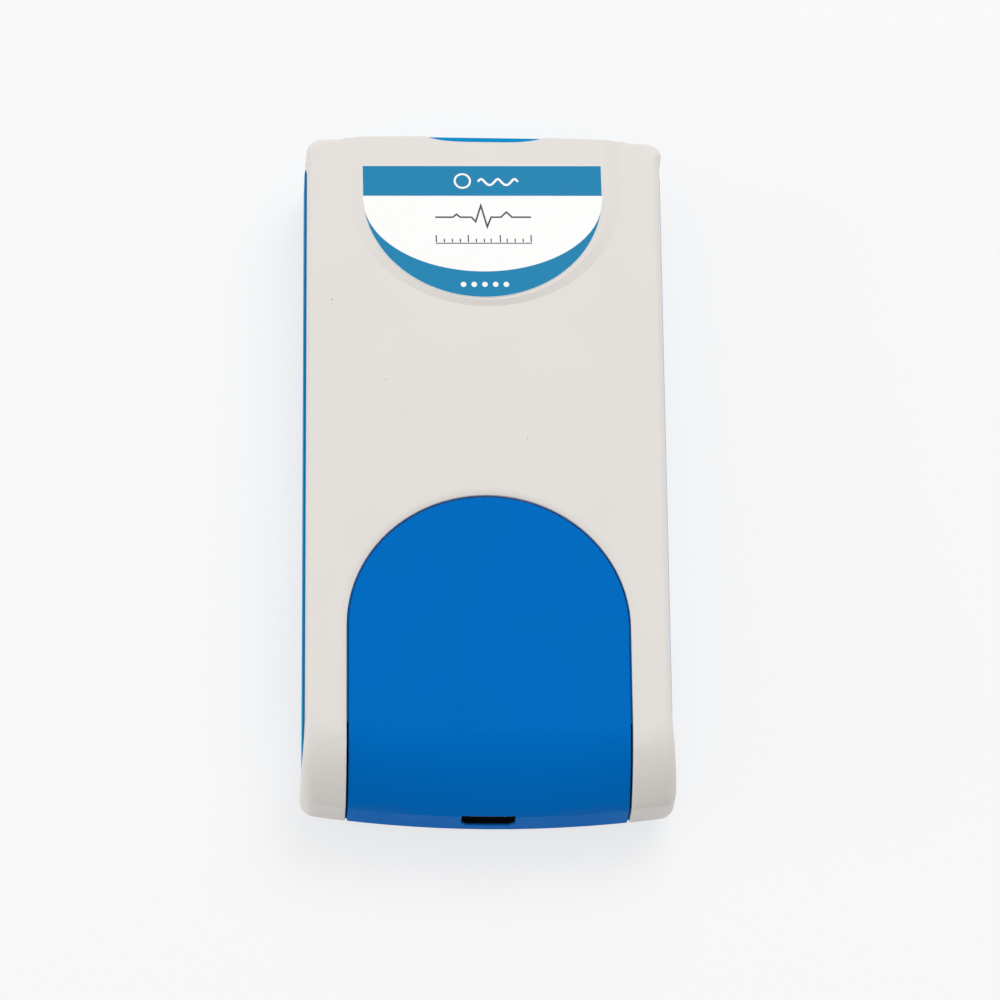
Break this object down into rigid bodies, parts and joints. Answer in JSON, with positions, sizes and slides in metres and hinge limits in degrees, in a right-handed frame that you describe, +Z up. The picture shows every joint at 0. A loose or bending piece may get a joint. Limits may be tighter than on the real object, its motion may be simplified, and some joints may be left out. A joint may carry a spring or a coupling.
{
  "type": "usb ecg sensor",
  "caption": "Flat two-tone handheld box that reads a heart signal, with an arched slide-off cover and USB socket at one end and an electrode jack at the other.",
  "frame": {"origin": "under the middle of the case, on the surface that its feet stand on", "axes": "+Z up out of the labelled face, +Y from the USB end towards the electrode jack, +X to the right as the label is seen with the USB end nearest"},
  "size_m": [0.0546, 0.107, 0.0171],
  "materials": {
    "shell_white": "fine satin texture, warm off-white",
    "shell_blue": "fine satin texture, strong blue",
    "label_film": "printed film, white and mid blue",
    "circuit_board": "green solder resist over glass laminate",
    "tinned_steel": "tin plated",
    "screw_steel": "zinc plated",
    "capacitor_aluminium": "drawn can",
    "black_plastic": "moulded",
    "chip_resin": "moulded resin",
    "ferrite": "sintered, dark grey",
    "tantalum_resin": "moulded resin, ochre",
    "foot_rubber": "matt"
  },
  "bodies": {
    "case": {"upper_shell": "shell_white", "lower_shell": "shell_blue", "rear_bezel": "shell_blue", "label": "label_film", "main_board": "circuit_board", "usb_socket_shell": "tinned_steel", "usb_socket_blade": "black_plastic", "jack_housing": "black_plastic", "jack_sleeve": "tinned_steel", "shield_can": "tinned_steel", "crystal": "tinned_steel", "round_capacitor": "capacitor_aluminium", "programming_pins": "black_plastic", "surge_protector": "chip_resin", "usb_bridge_chip": "chip_resin", "power_inductor": "ferrite", "microcontroller": "chip_resin", "tantalum_capacitor": "tantalum_resin", "isolated_converter": "chip_resin", "digital_isolator": "chip_resin", "signal_converter_chip": "chip_resin", "input_amplifier": "chip_resin", "case_screw_near_left": "screw_steel", "case_screw_near_right": "screw_steel", "case_screw_far_left": "screw_steel", "case_screw_far_right": "screw_steel", "board_screw_near_left": "screw_steel", "board_screw_near_right": "screw_steel", "board_screw_far_left": "screw_steel", "board_screw_far_right": "screw_steel", "foot_near_left": "foot_rubber", "foot_near_right": "foot_rubber", "foot_far_left": "foot_rubber", "foot_far_right": "foot_rubber"},
    "cover": {"front_cover": "shell_blue"}
  },
  "joints": [
    {"name": "cover_slide", "type": "slide", "parent": "case", "child": "cover", "axis": [0, -1, 0], "range_m": [0, 0.051]}
  ]
}
